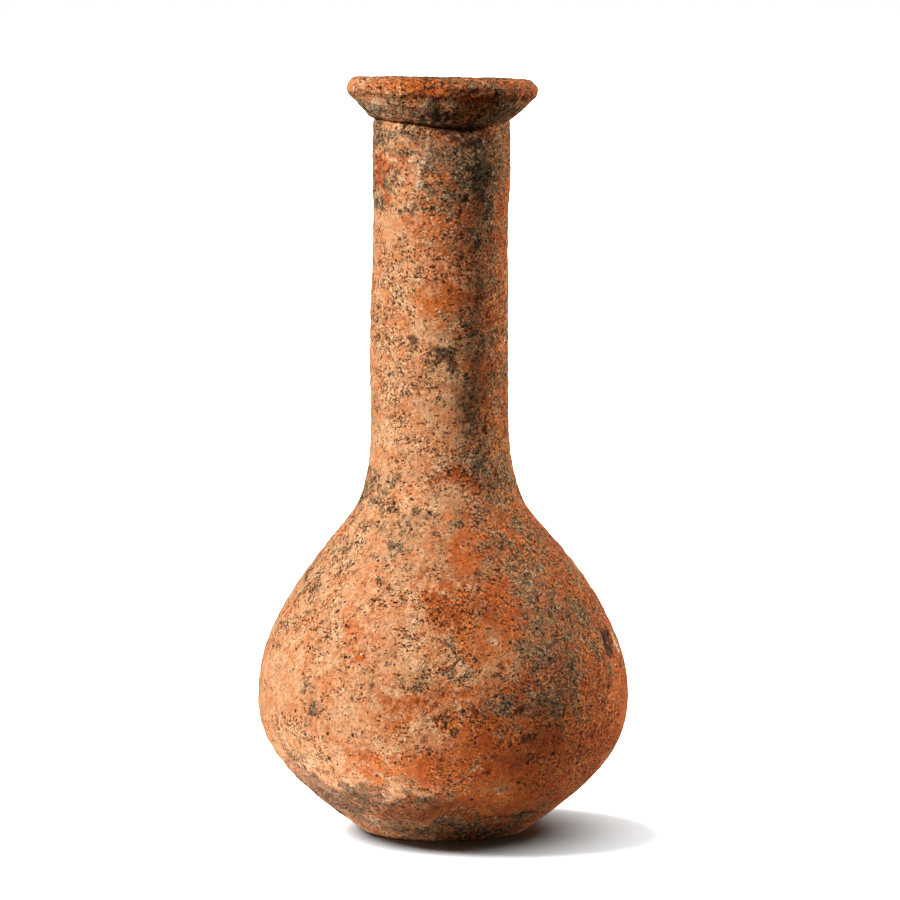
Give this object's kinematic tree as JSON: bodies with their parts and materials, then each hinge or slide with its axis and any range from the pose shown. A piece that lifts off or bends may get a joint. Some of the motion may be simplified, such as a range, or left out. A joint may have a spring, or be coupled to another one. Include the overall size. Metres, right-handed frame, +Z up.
{
  "type": "pottery unguentarium",
  "caption": "Small hollow pottery flask with a squat rounded body, a long straight neck and a flared rim with a rolled lip.",
  "frame": {"origin": "on the ground, at the middle of the underside, on the upright through the middle of the body", "axes": "+Z up through the mouth; -Y towards the camera of the picture; +X to the right as seen from there"},
  "size_m": [0.0646, 0.0646, 0.1304],
  "materials": {
    "fired_clay": "matt, unglazed orange-red earthenware, pitted, with a worn buff skin and thin grey lime and soil crust"
  },
  "bodies": {
    "root": {"vessel": "fired_clay"}
  },
  "joints": []
}
